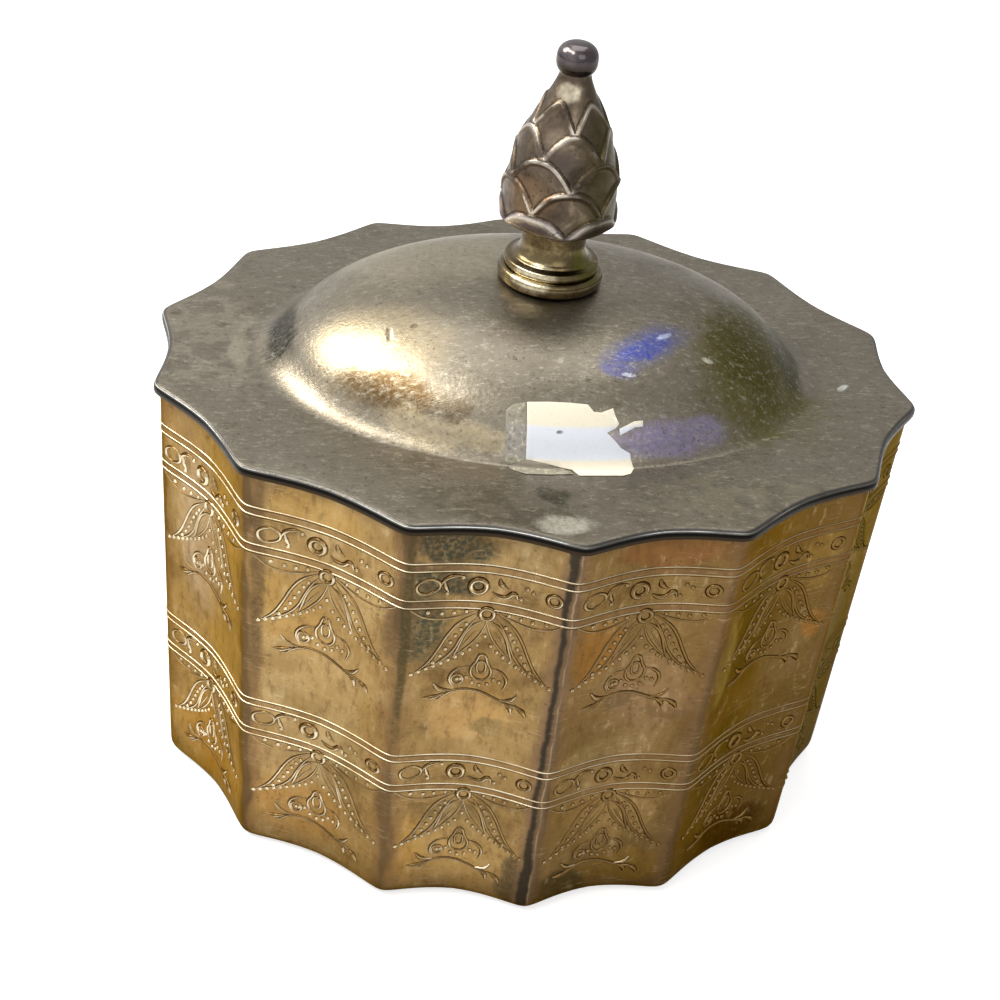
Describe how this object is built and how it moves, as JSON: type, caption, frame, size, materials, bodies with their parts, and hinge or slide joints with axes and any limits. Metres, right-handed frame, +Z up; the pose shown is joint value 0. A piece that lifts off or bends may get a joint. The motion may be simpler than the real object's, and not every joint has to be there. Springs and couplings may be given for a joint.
{
  "type": "trinket box",
  "caption": "Oval fluted trinket box of silver-plated sheet with a domed lift-off lid and a cast cone finial",
  "frame": {"origin": "middle of the base, at the height it stands on", "axes": "+Z up through the finial, +X along the long way of the oval, -Y towards the front"},
  "size_m": [0.1336, 0.1146, 0.1412],
  "materials": {
    "wall_silver": "silver-plated sheet, engraved, with warm golden tarnish",
    "lid_silver": "silver-plated sheet, grey-brown tarnish with fine scratches",
    "cast_silver": "silver-plated casting, dark in its hollows and bright on its edges",
    "stud_brass": "plain brass",
    "nut_steel": "plain steel"
  },
  "bodies": {
    "box": {"body_wall": "wall_silver", "base_plate": "wall_silver"},
    "lid": {"lid_shell": "lid_silver", "lid_flange": "lid_silver", "finial_foot": "cast_silver", "finial_cone": "cast_silver", "finial_stud": "stud_brass", "finial_washer": "stud_brass", "finial_nut": "nut_steel"}
  },
  "joints": [
    {"name": "lid_lift", "type": "slide", "parent": "box", "child": "lid", "axis": [0, 0, 1], "range_m": [0, 0.1]}
  ]
}
